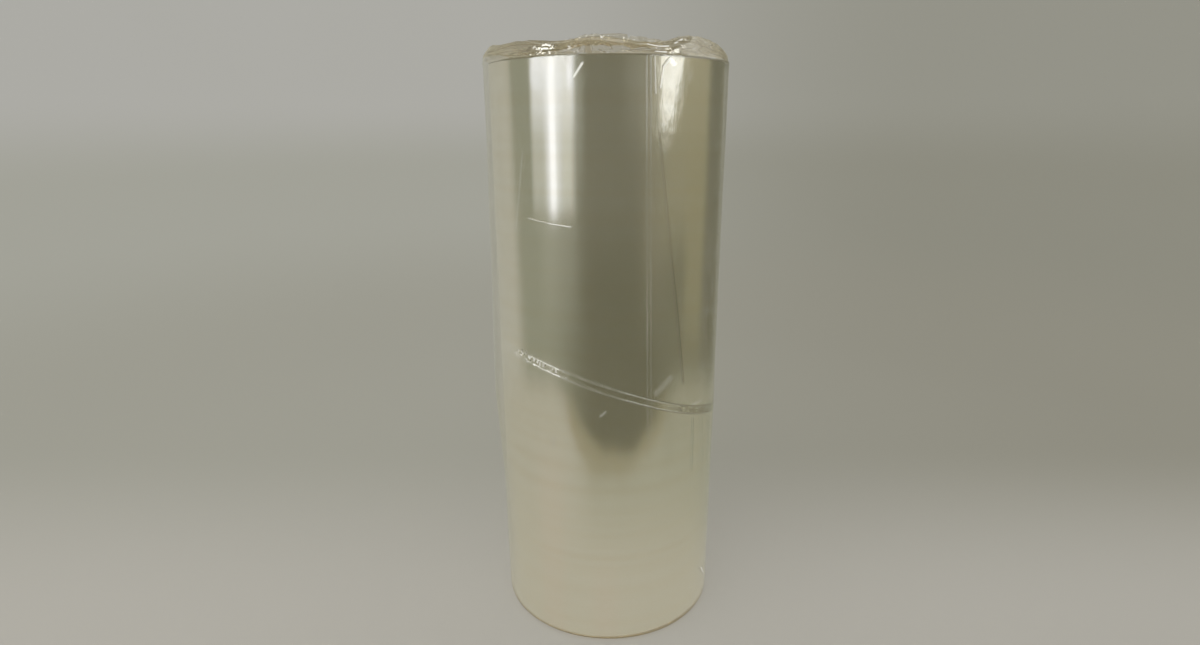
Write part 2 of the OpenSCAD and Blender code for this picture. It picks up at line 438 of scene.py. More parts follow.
def makeWoundFilm():
    s = rollSizes
    deselectAll()
    bpy.ops.mesh.primitive_cylinder_add(
        vertices=s["sides"], radius=s["radius"], depth=s["width"], end_fill_type="NGON",
        location=(0, 0, s["foot"] + s["width"] / 2))
    roll = bpy.context.object
    roll.name = "woundFilm"
    bpy.ops.object.transform_apply(location=True, rotation=True, scale=True)
    shape = editMesh(roll)
    bpy.ops.mesh.select_mode(type="EDGE")
    for edge in shape.edges:
        a, b = (v.co for v in edge.verts)
        edge.select = abs(a.z - b.z) < 1e-6
    bpy.ops.mesh.bevel(offset=s["edge"], segments=4, affect="EDGES")
    bpy.ops.mesh.select_mode(type="FACE")
    bpy.ops.mesh.select_all(action="DESELECT")
    chance = np.random.default_rng(7)
    for up in (1, -1):
        steps = list(chance.random(s["bands"]) * s["bandStep"])
        insetEnd(bmesh.from_edit_mesh(roll.data), up, steps)
        bpy.ops.mesh.select_all(action="DESELECT")
    shape = bmesh.from_edit_mesh(roll.data)
    for face in shape.faces:
        face.select = len(face.verts) > 8
    bpy.ops.mesh.bridge_edge_loops()
    bpy.ops.mesh.select_mode(type="EDGE")
    bpy.ops.mesh.select_all(action="DESELECT")
    shape = bmesh.from_edit_mesh(roll.data)
    for edge in shape.edges:
        a, b = (v.co for v in edge.verts)
        edge.select = abs(a.z - b.z) > 0.4 and a.xy.length > s["radius"] - 1e-5
    bpy.ops.mesh.subdivide(number_cuts=s["gaugeRings"])
    nearEdge = s["edge"] + 0.3 * mm      # a ring here keeps the side's shading straight up to the edge
    for height in (s["foot"] + nearEdge, s["foot"] + s["width"] - nearEdge):
        bpy.ops.mesh.select_all(action="SELECT")
        bpy.ops.mesh.bisect(plane_co=(0, 0, height), plane_no=(0, 0, 1))
    bpy.ops.mesh.select_all(action="SELECT")
    bpy.ops.mesh.normals_make_consistent(inside=False)
    shape = bmesh.from_edit_mesh(roll.data)
    low, high = s["foot"] + 3 * mm, s["foot"] + s["width"] - 3 * mm
    for v in shape.verts:
        if v.co.xy.length > s["radius"] - 1e-5 and low < v.co.z < high:
            wave = noise.noise((0, 0, v.co.z * 46)) + 0.5 * noise.noise(v.co * 18)
            v.co.xy *= 1 + s["gaugeDepth"] * wave / s["radius"]
    bmesh.update_edit_mesh(roll.data)
    objectMode()
    bpy.ops.object.shade_smooth_by_angle(angle=math.radians(32))
    return roll


filmLook = {
    "side": (0.925, 0.905, 0.845, 1),
    "sideTint": (0.90, 0.86, 0.765, 1),
    "end": (0.66, 0.645, 0.555, 1),
    "endDark": (0.47, 0.455, 0.375, 1),
    # painted shade on the rounded rims: rim is dark under the crown, footRim is amber at the foot
    "rim": (0.20, 0.18, 0.12, 1),
    "footRim": (0.80, 0.66, 0.40, 1),
    "roughSide": 0.075,
    "roughEnd": 0.42,
}


def woundFilmMaterial():
    s = filmLook
    material, paint = newMaterial("clearStretchFilm")
    place, z, radius, angle = objectPlace(paint)
    outer, half = rollSizes["radius"], rollSizes["width"] / 2
    endMask = radius.rise(outer - 0.6 * mm, outer - 1.4 * mm)
    streaks = paint.node("ShaderNodeTexNoise", {"noise_dimensions": "1D"},
                         {"W": z * 90.0, "Scale": 1.0, "Detail": 3.0})
    sideTone = (streaks.rise(0.35, 0.75) * 0.5).colours(s["side"], s["sideTint"])
    turns = paint.node("ShaderNodeTexNoise", {"noise_dimensions": "1D"},
                       {"W": radius * 2600.0, "Scale": 1.0, "Detail": 3.0, "Roughness": 0.7})
    bands = paint.node("ShaderNodeTexNoise", {"noise_dimensions": "1D"},
                       {"W": radius * 260.0, "Scale": 1.0, "Detail": 1.0})
    endTone = (turns.rise(0.3, 0.8) * 0.5 + bands.rise(0.35, 0.7) * 0.4).colours(s["end"], s["endDark"])
    # The rounded rims are painted: dark at the top as shade under the crown, amber at the foot as contact
    # shade tinted like light through the film's edge.
    rim = abs(z - middle).rise(half - 1.4 * mm, half - 1.05 * mm) * (1.0 - endMask)
    rimShadeTone = z.rise(0.24, 0.26).colours(s["footRim"], s["rim"])
    tone = endMask.colours(rim.colours(sideTone, rimShadeTone), endTone)
    cloud = noiseAt(paint, place, 14.0, 2.0)
    rough = s["roughSide"] + cloud.rise(0.4, 0.7) * 0.03 + endMask * (s["roughEnd"] - s["roughSide"])
    rough = rough + rim * 0.3
    metal = 0.96 - (endMask.atLeast(rim)) * 0.72
    pulls = stretched(paint, (angle * 0.75, 0.0, z * 3.0), 2.0)
    slack = stretched(paint, (angle * 0.16, 3.0, z * 24.0), 3.0)
    slackHere = angle.band(18, 37, 3) * z.rise(405 * mm, 450 * mm)
    relief = turns * endMask + (streaks * 0.05 + pulls * 0.14 + slack * slackHere * 11.0) * (1.0 - endMask)
    ripple = paint.node("ShaderNodeBump", {}, {"Strength": 0.30, "Distance": 0.15 * mm, "Height": relief})
    finishMaterial(paint, paint.node("ShaderNodeBsdfPrincipled", sockets={
        "Base Color": tone, "Metallic": metal, "Roughness": rough, "Normal": ripple}))
    return material


woundFilm = makeWoundFilm()
woundFilm.data.materials.append(woundFilmMaterial())
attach(woundFilm, "root")
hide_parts("film_roll")
print("stage 3: wound film made,", len(woundFilm.data.polygons), "faces")


# Core: the CAD tube keeps its shape and gets its board

coreLook = {
    "board": (0.47, 0.31, 0.17, 1),
    "boardDark": (0.33, 0.21, 0.11, 1),
    "boardPale": (0.56, 0.40, 0.25, 1),
    "seam": (0.20, 0.125, 0.065, 1),
    "stripWidth": 96 * mm,     # of the paper strip, along the tube
}


def coreMaterial():
    s = coreLook
    material, paint = newMaterial("spiralBoard")
    place, z, radius, angle = objectPlace(paint)
    along = z / s["stripWidth"] + angle / 360.0
    inStrip = paint.maths("FRACT", along)
    seam = abs(inStrip - 0.5).rise(0.492, 0.4985)
    grainPlace = paint.node("ShaderNodeCombineXYZ", sockets={
        "X": angle / 360.0 * 3.0 + along * 2.0, "Y": along * 60.0, "Z": radius * 400.0})
    grain = noiseAt(paint, grainPlace, 6.0, 6.0)
    fleck = noiseAt(paint, place, 900.0, 2.0)
    cloud = noiseAt(paint, place, 40.0, 3.0)
    tone = (grain.rise(0.3, 0.7) * 0.55).colours(s["board"], s["boardDark"])
    tone = (fleck.rise(0.58, 0.72) * 0.5).colours(tone, s["boardPale"])
    tone = (cloud.rise(0.35, 0.7) * 0.25).colours(tone, s["boardPale"])
    tone = seam.colours(tone, s["seam"])
    endMask = abs(z - middle).rise(middle - 0.6 * mm, middle - 0.1 * mm)
    ply = paint.maths("FRACT", radius / (0.75 * mm))
    plyLine = abs(ply - 0.5).rise(0.34, 0.48)
    cut = (plyLine * 0.75).colours(s["boardPale"], s["boardDark"])
    cut = (fleck.rise(0.4, 0.7) * 0.4).colours(cut, s["board"])
    tone = endMask.colours(tone, cut)
    height = grain * 0.5 + fleck * 0.35 - seam * 0.9 - plyLine * endMask * 0.8
    ripple = paint.node("ShaderNodeBump", {}, {"Strength": 0.5, "Distance": 0.25 * mm, "Height": height})
    finishMaterial(paint, paint.node("ShaderNodeBsdfPrincipled", sockets={
        "Base Color": tone, "Roughness": 0.84 + grain * 0.1, "Normal": ripple}))
    return material


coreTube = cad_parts["core_tube"]
coreTube.data.materials.clear()
coreTube.data.materials.append(coreMaterial())
print("stage 4: core dressed")


# Bag: one thin clear sheet round the roll, from the hem under the foot to the gathered crown

bagSizes = {
    "film": 0.25 * mm,
    "skin": 0.9,               # mm from the roll to the film's outer face
    "head": 501.5,             # mm, the roll's upper end
    "foot": 1.5,
    "edge": 1.2,
    "roll": 100.0,
    "hem": 34.0,               # width of the ring of film under the foot
    "slackLeft": 7.0,
    "slackRight": 2.0,
    "wave": 0.6,
    "seamHeight": 229.0,
    "seamRise": 38.0,
    "seamLowAt": 110.0,
    "seamWidth": 6.0,
    "bead": 0.19,
    "calm": 0.75,              # share of the crown's small pleats that is smoothed away near the rim
    "creaseAt": 17.5,
    "creaseLean": 5.0,
    "crease": 0.3,
    "foldFrom": (41.0, 0.46),  # the slanting fold's ends: degrees, and share of the height
    "foldTo": (22.5, 0.93),
    "fold": 1.0,
    "overhangLeft": 3.4,       # how far the crown's edge stands out over the loose side
    "overhangRight": 1.2,
    "puff": 8.0,
    "collar": 19.0,
    "mouth": 50.6,
    "columns": 320,
    "crownRows": 36,
}
slackRows = ([0, .24, .42, .6, .8, 1], [.02, .12, 1, .75, .55, .45])
puffRound = ([-180, -130, -85, -45, -22, -8, 12, 20, 40, 58, 85, 130, 180],
             [.9, 1.2, .75, .8, .72, 1.25, 1.15, .75, 1.5, 1.3, .8, 1.25, .9])
collarRound = ([-180, -120, -60, -32, 0, 32, 60, 110, 180],
               [.85, .7, .62, .9, 1, .92, .6, .75, .85])
# How much higher than simulated the crown's film is drawn, by angle
liftRound = ([-180, -60, -48, -40, -32, -26, -16, -8, 4, 18, 30, 40, 48, 58, 80, 180],
             [1, 1, 0.95, 0.75, 0.75, 1, 1.25, 1.3, 1.1, 1.2, 1.35, 1.45, 1.65, 1.3, 1, 1])
# How far the film stands up round the crown's edge, in mm
shoulderRound = ([-180, -125, -100, -80, -60, -45, -32, -18, 0, 35, 48, 62, 80, 95, 125, 180],
                 [0, 0, 5.2, 6.8, 6.4, 6.4, 5.6, 3.6, 0.8, 0.6, 1.6, 2.4, 5.4, 5.2, 0, 0])
seamSteps = [-9, -7, -5.4, -4.6, -4.1, -3.7, -3.35, -3, -2.65, -2.3, -1.9, -1.2, -0.4, 0.4, 1.2,
             1.9, 2.3, 2.65, 3, 3.35, 3.7, 4.1, 4.6, 5.4, 7, 9]
creaseSteps = [-8, -6, -4.4, -3.2, -2.5, -2.05, -1.6, -1.15, -0.6, 0,
               0.6, 1.15, 1.6, 2.05, 2.5, 3.2, 4.4, 6, 8]
arcStep = 1.763    # mm round the bag in a degree


def within(a):  # degrees from -180 to 180
    return (a + 180) % 360 - 180


def bump(distance, half):  # 1 at distance 0 and 0 beyond half
    return np.where(abs(distance) >= half, 0, (1 + np.cos(np.pi * np.clip(distance / half, -1, 1))) / 2)


def softWaves(x, y, seed):  # smooth random waves from a few sines, about -1 to 1
    chance = np.random.default_rng(seed)
    total = np.zeros(np.broadcast(x, y).shape)
    for k in range(7):
        fx, fy, shift = chance.normal(0, 1), chance.normal(0, 1), chance.random() * 6.283
        total = total + np.sin(fx * x + fy * y + shift)
    return total / 3.2


def standOff(a, z):  # how far the sleeve stands off the roll, in mm
    s = bagSizes
    h = (z - s["foot"]) / (s["head"] - s["foot"])
    off = s["slackLeft"] * np.interp(h, *slackRows) * bump(within(a + 92), 58)
    off = off + s["slackRight"] * h * bump(within(a - 95), 60)
    off = off + s["wave"] * (1 + np.sin(np.radians(3 * a + 260 * h))) * (
        1 + np.sin(np.radians(2 * a - 420 * h + 40))) / 4
    (lowAt, low), (highAt, high) = s["foldFrom"], s["foldTo"]
    share = (h - low) / (high - low)
    off = off + s["fold"] * bump(a - (lowAt + (highAt - lowAt) * share), 3.0) * bump(share - 0.5, 0.6)
    loose = 0.25 + bump(within(a + 92), 62) * 1.6 + bump(within(a - 95), 62) * 0.7
    off = off + 0.12 * loose * (1 + softWaves(a * 0.22, z * 0.045, 5)) * np.clip(h * 8, 0, 1)
    crushed = bump(a - 33, 24) * bump(h - 0.97, 0.2) + 0.6 * bump(a + 25, 22) * bump(h - 1, 0.1)
    off = off + 0.5 * crushed * (1 + softWaves(a * 0.5, z * 0.25, 8))
    return off


def overhang(a):
    s = bagSizes
    return s["overhangLeft"] * bump(within(a + 88), 62) + s["overhangRight"] * bump(within(a - 92), 60)


def creaseRaise(offset, h):  # two thin ridges 3 mm apart, and a third one near the top
    s = bagSizes
    arc = offset * arcStep
    pair = bump(arc - 1.6, 0.6) + bump(arc + 1.6, 0.6)
    third = bump(arc - 4.4 - 8 * (h - 0.75), 1.2) * np.clip((h - 0.72) * 8, 0, 1)
    return s["crease"] * (pair + 0.6 * third)


def seamLine(a):
    s = bagSizes
    return s["foot"] + s["seamHeight"] - s["seamRise"] * np.cos(np.radians(a - s["seamLowAt"]))


def seamRaise(a, d):  # two beads with crinkles, d is the distance from the middle in mm
    s = bagSizes
    half = s["seamWidth"] / 2
    beads = bump(d - half, 0.7) + bump(d + half, 0.7)
    crinkled = np.clip(bump(within(a + 39), 26) * 1.6 + 0.35 * bump(within(a - 56), 18)
                       + 0.8 * bump(within(a - 190), 60), 0, 1)
    ruck = softWaves(a * 2.6, d * 0.9, 9) * bump(d, 7)
    return s["bead"] * beads + crinkled * (0.40 * ruck + 0.25)


def placedPoint(a, r, z):
    turn = np.radians(a)
    return np.stack([r * np.sin(turn), -r * np.cos(turn), z], -1)


def columnOffsets():
    s = bagSizes
    fine = np.array(creaseSteps) / arcStep
    rest = s["columns"] + 1 - len(fine)
    left = np.linspace(-180, fine[0], rest // 2 + 1)[:-1]
    right = np.linspace(fine[-1], 180, rest - rest // 2 + 1)[1:]
    return np.concatenate([left, fine, right])


crownSizes = {
    "scale": 10.0,             # the cloth is simulated ten times larger, where the solver is steady
    "columns": 208,
    "rows": 26,
    "length": 70.0,            # mm of film from the rim to the mouth
    "shrunk": 0.90,            # the bag's end is heat-shrunk to this share of its round
    "frames": 36,
    "bend": 1.6,
    "shake": 3.4,              # mm that the film starts out of shape
    "seed": 12,
    "closeness": 1.0,          # mm that the film keeps from itself and from the roll
}


def crownStart(a, share):  # the crown before it crumples: a low dome with an open mouth
    s = bagSizes
    puff = np.interp(share, [0, .02, .13, .32, .52, .72, 1], [0, .5, 1, .7, .3, 0, 0])
    collar = np.interp(share, [0, .32, .52, .72, .87, 1], [0, .03, .08, .2, .5, 1])
    out = s["roll"] + s["skin"] * 0.6 + standOff(a, np.full_like(a, s["head"])) * 0.7
    z = s["head"] + 0.7 + s["puff"] * np.interp(a, *puffRound) * puff \
        + (s["collar"] - 2.5) * np.interp(a, *collarRound) * collar
    return out + (s["mouth"] + 1.5 - out) * share, z


def temporaryBlock(name, radius, top):  # a stand-in that the cloth lies on
    deselectAll()
    bpy.ops.mesh.primitive_cylinder_add(vertices=96, radius=radius, depth=0.6, location=(0, 0, top - 0.3))
    block = bpy.context.object
    block.name = name
    bpy.ops.object.modifier_add(type="COLLISION")
    block.collision.thickness_outer = 0.006
    block.collision.cloth_friction = 4
    return block


def simulateCrown():
    s, c = bagSizes, crownSizes
    big = c["scale"] / 100.0                      # mm to cloth units
    count, rowCount = c["columns"], c["rows"]
    around = np.linspace(-180, 180, count + 1)
    chance = np.random.default_rng(c["seed"])
    shares = np.linspace(0, 1, rowCount + 1)
    start, rest = [], []
    for share in shares:
        r, z = crownStart(around, np.full_like(around, share))
        shake = softWaves(around * 0.19, share * 6 + 0 * around, 31) + 0.45 * softWaves(
            around * 0.75, share * 6 + 0 * around, 32)
        shake = shake * c["shake"] * min(1, share * 5) * (1 - 0.7 * share)
        fade = np.minimum(1, (180 - abs(around)) / 8)   # the shake closes at the back
        lifted = z + shake * fade + 1.5 * min(1, share * 5)
        start.append(placedPoint(around, r + shake * 0.3 * fade, np.maximum(lifted, s["head"] + 1.2)))
        turn = 1 - (1 - c["shrunk"]) * share
        rest.append(placedPoint(around, np.full_like(around, s["roll"] * turn),
                                s["head"] + share * c["length"] + 0 * around))
    start, rest = np.array(start), np.array(rest)
    mouth = np.zeros(count + 1, bool)
    spot = 3
    while spot < count - 2:
        mouth[spot] = True
        lift, draw = chance.normal(-0.5, 1.2), chance.normal(0, 1.8)
        start[-1, spot, 2] += lift
        start[-1, spot, :2] *= 1 + (2.0 + draw) / s["mouth"]
        spot += int(chance.integers(6, 13))
    deselectAll()
    bpy.ops.mesh.primitive_grid_add(x_subdivisions=count, y_subdivisions=rowCount, size=1)
    cloth = bpy.context.object
    cloth.name = "crownCloth"
    column, row = gridPlaces(cloth, count, rowCount)
    for name, values in (("column", column), ("row", row)):
        cloth.data.attributes.new(name, "INT", "POINT").data.foreach_set("value", values)
    centre = np.array([0, 0, s["head"]])
    cloth.data.vertices.foreach_set("co", ((start[row, column] - centre) * big).ravel())
    editMesh(cloth)
    bpy.ops.mesh.select_all(action="SELECT")
    bpy.ops.mesh.remove_doubles(threshold=0.0005)
    objectMode()
    number = len(cloth.data.vertices)
    column, row = np.zeros(number, int), np.zeros(number, int)
    cloth.data.attributes["column"].data.foreach_get("value", column)
    cloth.data.attributes["row"].data.foreach_get("value", row)
    cloth.shape_key_add(name="drawn")
    loose = cloth.shape_key_add(name="loose")
    loose.data.foreach_set("co", ((rest[row, column] - centre) * big).ravel())
    held = cloth.vertex_groups.new(name="held")
    fixed = (row <= 1) | ((row == rowCount) & mouth[column])
    held.add([int(k) for k in np.nonzero(fixed)[0]], 1.0, "REPLACE")
    end = temporaryBlock("endStandIn", s["roll"] * big, 0.0)
    core = temporaryBlock("coreStandIn", 45.6 * big, 1.5 * big)
    deselectAll()
    cloth.select_set(True)
    bpy.context.view_layer.objects.active = cloth
    bpy.ops.object.modifier_add(type="CLOTH")
    solver = cloth.modifiers[-1]
    solver.point_cache.frame_start, solver.point_cache.frame_end = 1, c["frames"]
    film = solver.settings
    film.rest_shape_key = loose
    film.vertex_group_mass = "held"
    film.quality = 7
    film.mass = 0.15
    film.tension_stiffness = film.compression_stiffness = 25
    film.shear_stiffness = 12
    film.bending_stiffness = c["bend"]
    film.tension_damping = film.compression_damping = 10
    film.bending_damping = 1.0
    film.air_damping = 3
    film.effector_weights.gravity = 0.03
    touch = solver.collision_settings
    touch.collision_quality = 3
    touch.distance_min = c["closeness"] * big * 0.6
    touch.use_self_collision = True
    touch.self_distance_min = c["closeness"] * big
    for number in range(1, c["frames"] + 1):
        scene.frame_set(number)
    done = cloth.evaluated_get(bpy.context.evaluated_depsgraph_get())
    places = np.zeros(len(done.data.vertices) * 3)
    done.data.vertices.foreach_get("co", places)
    places = places.reshape(-1, 3) / big + centre
    scene.frame_set(1)
    result = np.zeros((rowCount + 1, count + 1, 3))
    result[row, column] = places
    back = result[:, 0] + result[:, -1]      # one of the two closing columns was merged away
    if (column == 0).any() and (column == count).any():
        back = back / 2
    result[:, 0] = result[:, -1] = back
    for thing in (cloth, end, core):
        bpy.data.objects.remove(thing)
    return around, shares, result


def gridPlaces(grid, columns, rows):  # column and row of each vertex of a new grid
    flat = np.zeros(len(grid.data.vertices) * 3)
    grid.data.vertices.foreach_get("co", flat)
    flat = flat.reshape(-1, 3) + 0.5
    return np.rint(flat[:, 0] * columns).astype(int), np.rint(flat[:, 1] * rows).astype(int)


def crownRows(a):  # rings of the crown at the bag's own angles, from the rim inwards
    s = bagSizes
    shares = np.linspace(0, 1, s["crownRows"] + 1)[1:]
    around, simShares, points = simulateCrown()
    wide = np.concatenate([points[:, -6:-1], points, points[:, 1:6]], 1)
    smooth = sum(wide[:, k:k + points.shape[1]] for k in range(11)) / 11
    calm = s["calm"] * np.interp(simShares, [0, 0.05, 0.32, 0.6], [0, 1, 1, 0])
    points = points + (smooth - points) * calm[:, None, None]
    rings = []
    for share in shares:
        spot = share * (len(simShares) - 1)
        k = min(int(spot), len(simShares) - 2)
        ring = points[k] + (points[k + 1] - points[k]) * (spot - k)
        ring = np.stack([np.interp(a, around, ring[:, i]) for i in range(3)], -1)
        rings.append(shapedRing(ring, a, share))
    return rings


def shapedRing(ring, a, share):  # the simulated film, drawn up, down and out by the listed amounts where the photo does
    s = bagSizes
    lift = np.interp(a, *liftRound) * min(1, share * 12)
    ring[:, 2] = s["head"] + (ring[:, 2] - s["head"]) * (1 + (lift - 1) * (1 - share) ** 0.5)
    upright = np.interp(share, [0, 0.03, 0.1, 0.3, 0.5], [0, 0.8, 1, 0.5, 0])
    ring[:, 2] += np.interp(a, *shoulderRound) * upright
    out = overhang(a) * max(0, 1 - share / 0.14)
    ring[:, :2] *= (1 + out / np.hypot(ring[:, 0], ring[:, 1]))[:, None]
    return ring


def bagRows():
    s = bagSizes
    offsets = columnOffsets()
    rows = []
    top, bottom, curve = s["head"] - s["edge"], s["foot"] + s["edge"], s["edge"] + s["skin"]

    def angles(z):
        h = (z - s["foot"]) / (s["head"] - s["foot"])
        return within(offsets + s["creaseAt"] + s["creaseLean"] * (1 - h))

    a = angles(s["foot"])
    ragged = softWaves(a * 0.4, 0 * a, 21) * 2.5
    for share in np.linspace(0, 1, 5)[:-1]:
        inner = s["roll"] - s["hem"] + ragged
        r = inner + (s["roll"] - s["edge"] - inner) * share
        rows.append(placedPoint(a, r, np.full_like(a, s["foot"] - s["skin"])))
    for tilt in np.radians([90, 66, 42, 20]):
        r = s["roll"] - s["edge"] + curve * np.cos(tilt) + standOff(a, bottom + 0 * a) * np.cos(tilt)
        rows.append(placedPoint(a, r, bottom - curve * np.sin(tilt) + 0 * a))

    def sleeveRow(zOf):
        z = zOf(angles(s["foot"] + s["seamHeight"]))
        a = angles(z)
        z = zOf(a)
        h = (z - s["foot"]) / (s["head"] - s["foot"])
        r = s["roll"] + s["skin"] + standOff(a, z) + creaseRaise(offsets, h)
        rows.append(placedPoint(a, r + seamRaise(a, z - seamLine(a)), z))

    for share in np.linspace(0, 1, 21)[:-1]:
        sleeveRow(lambda a: bottom + (seamLine(a) + seamSteps[0] - bottom) * share)
    for step in seamSteps:
        sleeveRow(lambda a: seamLine(a) + step)
    for share in np.append(np.linspace(0, 1, 49)[1:-1] ** 0.85, [0.993, 0.998, 1]):
        sleeveRow(lambda a: seamLine(a) + seamSteps[-1] + (top - seamLine(a) - seamSteps[-1]) * share)
    a = angles(s["head"])
    for tilt in np.radians([25, 50]):
        r = s["roll"] - s["edge"] + curve * np.cos(tilt) + standOff(a, top + 0 * a) * np.cos(tilt)
        r = r + overhang(a) * np.sin(tilt)
        rows.append(placedPoint(a, r, top + curve * np.sin(tilt) + 0 * a))
    return np.array(rows + crownRows(a)) * mm


def makeFilmBag():
    s = bagSizes
    points = bagRows()
    rowCount, columnCount = points.shape[:2]
    deselectAll()
    bpy.ops.mesh.primitive_grid_add(x_subdivisions=columnCount - 1, y_subdivisions=rowCount - 1, size=1)
    bag = bpy.context.object
    bag.name = "filmBag"
    column, row = gridPlaces(bag, columnCount - 1, rowCount - 1)
    bag.data.vertices.foreach_set("co", points[row, column].ravel())
    editMesh(bag)
    bpy.ops.mesh.select_all(action="SELECT")
    bpy.ops.mesh.remove_doubles(threshold=0.002 * mm)
    objectMode()
    side = min(bag.data.polygons, key=lambda face: (face.center - Vector((0, -0.1, 0.1))).length)
    if side.normal.y > 0:
        editMesh(bag)
        bpy.ops.mesh.select_all(action="SELECT")
        bpy.ops.mesh.flip_normals()
        objectMode()
    bpy.ops.object.shade_smooth()
    bpy.ops.object.modifier_add(type="SOLIDIFY")
    wall = bag.modifiers[-1]
    wall.thickness = s["film"]
    wall.offset = -1
    bpy.ops.object.modifier_apply(modifier=wall.name)
    return bag


bagLook = {
    "clear": (0.992, 0.988, 0.975, 1),
    "white": (0.93, 0.92, 0.86, 1),
    "beige": (0.50, 0.455, 0.345, 1),
    # painted shade colours: amber at the hem, olive along the sleeve's dark lines, brown along the crown's
    # folds
    "amber": (0.56, 0.44, 0.20, 1),
    "shadeOlive": (0.20, 0.175, 0.09, 1),
    "brown": (0.30, 0.25, 0.15, 1),
    "crownClear": (0.957, 0.939, 0.885, 1),
    "haze": 0.010,
    "crownHaze": 0.020,
    "edgeHaze": 0.11,          # of crown film seen edge-on
    "foldShade": 0.42,          # painted shade along the crown's creases
    "gloss": 0.045,
    "crownGloss": 0.070,
    "rough": 0.05,
}
# Single lines in the bag's film, bright ones painted highlights and dark ones mostly painted shade: from and
# to (degrees, mm), half width in mm, strength
highlightLines = [
    ((-38.3, 381.9), (-27.0, 379.3), 0.45, 0.26),    # short crease under the left reflection
    ((-27.0, 379.3), (-15.9, 377.2), 0.55, 0.48),
    ((-13.9, 485.1), (-9.8, 495.5), 1.2, 0.60),      # slanting glint under the rim
    ((20.2, 500.4), (20.9, 474.0), 0.7, 0.30),       # lines that fan out from the crease
    ((28.4, 501.0), (24.4, 493.3), 0.9, 0.55),
    ((24.4, 493.3), (22.9, 478.0), 0.8, 0.50),
    ((23.0, 237.0), (32.3, 250.1), 4.0, 0.045),      # film pulled towards the seam
    ((-40.0, 433.0), (-46.2, 371.1), 0.6, 0.10),     # fold beside the left reflection
    ((-3.5, 220.8), (-0.7, 225.3), 1.1, 0.11),
    ((46.8, 218.0), (56.4, 217.2), 0.8, 0.16),
    ((64.5, 36.0), (71.0, 22.0), 1.5, 0.45),         # small curl near the foot
]
# Dark lines: painted shade along the slanting fold and the crinkles at the right, and a faint dark spot.
darkLines = [
    ((-27.5, 196.6), (-27.5, 187.2), 2.2, 0.05),     # faint dark spot low on the left
    ((23.1, 447.1), (30.5, 350.0), 0.60, 0.14),      # the slanting fold
    ((30.5, 350.0), (40.2, 240.6), 0.75, 0.28),
    ((57.9, 330.0), (61.3, 266.1), 1.0, 0.24),       # crinkles at the right
    ((48.4, 205.0), (48.9, 154.0), 0.7, 0.16),
    ((56.4, 217.0), (64.0, 60.0), 0.8, 0.12),
]
crownShadeLines = [      # folds round the crown's edge, painted brown as shade
    ((-80.0, 511.5), (-26.0, 512.5), 0.40, 0.38),
    ((-70.0, 508.5), (-30.0, 508.0), 0.35, 0.30),
    ((-36.0, 510.5), (-14.0, 507.0), 0.40, 0.32),
    ((8.0, 506.0), (40.0, 508.5), 0.35, 0.30),
    ((42.0, 512.0), (66.0, 509.0), 0.40, 0.32),
    ((50.0, 507.5), (84.0, 506.5), 0.40, 0.34),
    ((-9.2, 504.5), (-7.9, 514.0), 0.30, 0.42),      # sides of the fold, painted brown as shade
    ((-5.6, 504.5), (-7.4, 514.0), 0.30, 0.42),
]
# Painted glints on the crown: from and to (degrees, mm), half width in mm, strength
crownGlints = [
    ((-16.3, 509.7), (-15.0, 508.9), 0.9, 0.70),
    ((-2.9, 515.1), (-1.9, 513.4), 0.9, 0.75),
    ((17.5, 511.5), (22.9, 510.2), 0.6, 0.60),
    ((22.9, 510.2), (27.8, 510.6), 0.7, 0.60),
    ((20.5, 506.5), (26.0, 506.2), 0.7, 0.65),
    ((31.0, 512.4), (36.0, 515.1), 0.8, 0.60),
]


def lineMask(spot, start, end, half):  # 1 on a line between two places on the side
    first = np.array([start[0] * arcStep, start[1]])
    last = np.array([end[0] * arcStep, end[1]])
    reach = np.hypot(*(last - first)) / 2
    middle, along = (first + last) / 2, (last - first) / reach / 2
    across = np.array([-along[1], along[0]])
    off, far = (abs(spot.vector("DOT_PRODUCT", spot, (*way, -(way @ middle)), out=1))
                for way in (across, along))
    return off.rise(half, half * 0.3) * far.rise(reach + 1.0, reach - 1.0)


def filmSurface(paint, haze, clear, tone, gloss, ripple):
    veil = paint.node("ShaderNodeBsdfPrincipled", sockets={
        "Base Color": tone, "Roughness": 0.35, "Normal": ripple})
    through = paint.node("ShaderNodeBsdfTransparent", sockets={"Color": clear})
    body = paint.node("ShaderNodeMixShader", sockets={0: haze.atMost(0.9), 1: through, 2: veil})
    shine = paint.node("ShaderNodeBsdfAnisotropic", sockets={
        "Color": (1, 1, 1, 1), "Roughness": bagLook["rough"], "Normal": ripple})
    return paint.node("ShaderNodeMixShader", sockets={0: gloss, 1: body, 2: shine})


def facingWeight(paint, ripple):
    return paint.node("ShaderNodeLayerWeight", sockets={"Blend": 0.5, "Normal": ripple}, out="Facing")


